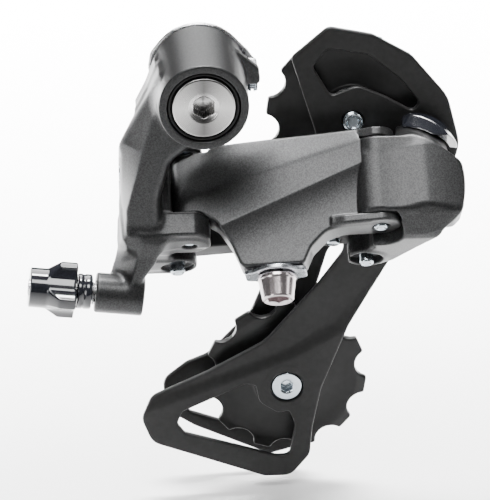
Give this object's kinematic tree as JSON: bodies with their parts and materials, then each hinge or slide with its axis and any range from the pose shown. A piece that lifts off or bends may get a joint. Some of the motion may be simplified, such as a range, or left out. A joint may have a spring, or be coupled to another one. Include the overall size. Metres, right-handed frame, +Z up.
{
  "type": "rear bicycle derailleur",
  "caption": "Rear bicycle derailleur: slanted four-bar linkage with a sprung pulley cage, cable adjuster, clamp bolt and limit screws.",
  "frame": {"origin": "on the mounting axle's axis, in the plane of the frame hanger's outer face", "axes": "+Y inboard along the mounting axle, +X towards the front of the bicycle, +Z up"},
  "size_m": [0.1099, 0.0475, 0.1302],
  "materials": {
    "painted_body": "fine metallic dark grey paint",
    "cage_plate": "satin black coating",
    "gloss_trim": "glossy black",
    "axle_steel": "fine turned steel",
    "zinc": "bright zinc plate",
    "clamp_zinc": "stamped zinc plate",
    "cable_chrome": "bright plated",
    "spring_steel": "oiled spring steel",
    "resin": "moulded black resin",
    "dust_cap_steel": "pressed steel",
    "bush_bronze": "sintered bronze"
  },
  "bodies": {
    "hanger_axle": {"b_axle": "axle_steel", "b_axle_clip": "axle_steel", "stopper_plate": "axle_steel", "b_tension_spring": "spring_steel"},
    "bracket": {"b_knuckle": "painted_body", "b_axle_bush": "resin", "link_pin_b_outer": "zinc", "link_pin_b_inner": "zinc"},
    "b_screw": {"b_tension_screw": "zinc"},
    "high_screw": {"limit_screw_high": "zinc"},
    "low_screw": {"limit_screw_low": "zinc"},
    "cable_screw": {"adjuster_screw": "axle_steel", "adjuster_collar": "gloss_trim", "adjuster_spring": "spring_steel"},
    "cable_knob": {"adjuster_knob": "gloss_trim"},
    "outer_arm": {"outer_link": "painted_body", "cable_clamp_plate": "clamp_zinc"},
    "clamp_bolt": {"cable_fixing_bolt": "cable_chrome"},
    "inner_arm": {"inner_link": "cage_plate", "spring_anchor_pin": "zinc", "return_spring": "spring_steel"},
    "cage_bracket": {"p_knuckle": "painted_body", "p_spring_cover": "gloss_trim", "p_axle_set_screw": "axle_steel", "p_tension_spring": "spring_steel", "link_pin_p_outer": "zinc", "link_pin_p_inner": "zinc"},
    "cage": {"outer_plate": "cage_plate", "inner_plate": "cage_plate", "cage_stop_pin": "axle_steel", "p_axle": "axle_steel", "guide_bush": "bush_bronze", "guide_dust_cap_outer": "dust_cap_steel", "guide_dust_cap_inner": "dust_cap_steel", "tension_bush": "bush_bronze", "tension_dust_cap_outer": "dust_cap_steel", "tension_dust_cap_inner": "dust_cap_steel", "guide_pulley_bolt": "zinc", "tension_pulley_bolt": "zinc"},
    "upper_pulley": {"guide_pulley": "resin"},
    "lower_pulley": {"tension_pulley": "resin"}
  },
  "joints": [
    {"name": "b_knuckle_swing", "type": "hinge", "parent": "hanger_axle", "child": "bracket", "pos_m": [0, -0.0135, 0], "axis": [0, 1, 0], "range_deg": [0, 20], "stiffness_Nm_per_rad": 3, "springref_deg": -28.65},
    {"name": "outer_link_swing", "type": "hinge", "parent": "bracket", "child": "outer_arm", "pos_m": [-0.0032, -0.00536, -0.03187], "axis": [0, 0.7193, 0.6947], "range_deg": [0, 68], "stiffness_Nm_per_rad": 0.5, "springref_deg": -45.84},
    {"name": "inner_link_swing", "type": "hinge", "parent": "bracket", "child": "inner_arm", "pos_m": [-0.0058, 0.00038, -0.04718], "axis": [0, 0.7193, 0.6947], "range_deg": [0, 68]},
    {"name": "cage_bracket_level", "type": "hinge", "parent": "outer_arm", "child": "cage_bracket", "pos_m": [0.04408, -0.01141, -0.02706], "axis": [0, 0.7193, 0.6947], "range_deg": [-68, 0]},
    {"name": "cage_swing", "type": "hinge", "parent": "cage_bracket", "child": "cage", "pos_m": [0.0535, -0.006, -0.026], "axis": [0, -1, 0], "range_deg": [0, 100], "stiffness_Nm_per_rad": 0.25, "springref_deg": -57.3},
    {"name": "guide_pulley_spin", "type": "hinge", "parent": "cage", "child": "upper_pulley", "pos_m": [0.03897, 0.0073, -0.01685], "axis": [0, 1, 0], "continuous": true},
    {"name": "tension_pulley_spin", "type": "hinge", "parent": "cage", "child": "lower_pulley", "pos_m": [0.02276, 0.0073, -0.09158], "axis": [0, 1, 0], "continuous": true},
    {"name": "b_tension_screw_turn", "type": "hinge", "parent": "bracket", "child": "b_screw", "pos_m": [0.0131, -0.0052, -0.002], "axis": [0, 0, 1], "range_deg": [-360, 360]},
    {"name": "limit_screw_high_turn", "type": "hinge", "parent": "bracket", "child": "high_screw", "pos_m": [-0.0185, -0.0029, -0.0273], "axis": [-1, 0, 0], "range_deg": [-360, 360]},
    {"name": "limit_screw_low_turn", "type": "hinge", "parent": "bracket", "child": "low_screw", "pos_m": [-0.0185, -0.0084, -0.033], "axis": [-1, 0, 0], "range_deg": [-360, 360]},
    {"name": "cable_adjuster_feed", "type": "slide", "parent": "bracket", "child": "cable_screw", "axis": [-0.9925, 0, 0.1219], "range_m": [0, 0.003]},
    {"name": "cable_adjuster_turn", "type": "hinge", "parent": "cable_screw", "child": "cable_knob", "pos_m": [-0.03789, -0.018, -0.05147], "axis": [-0.9925, 0, 0.1219], "range_deg": [0, 1350.5]},
    {"name": "cable_bolt_turn", "type": "hinge", "parent": "outer_arm", "child": "clamp_bolt", "pos_m": [0.01792, -0.02644, -0.04747], "axis": [0, 0.7193, 0.6947], "range_deg": [-90, 360]}
  ],
  "couplings": [
    {"joint": "inner_link_swing", "follows": "outer_link_swing", "ratio": 1},
    {"joint": "cage_bracket_level", "follows": "outer_link_swing", "ratio": -1},
    {"joint": "cable_adjuster_turn", "follows": "cable_adjuster_feed", "rad_per_m": 7854}
  ]
}
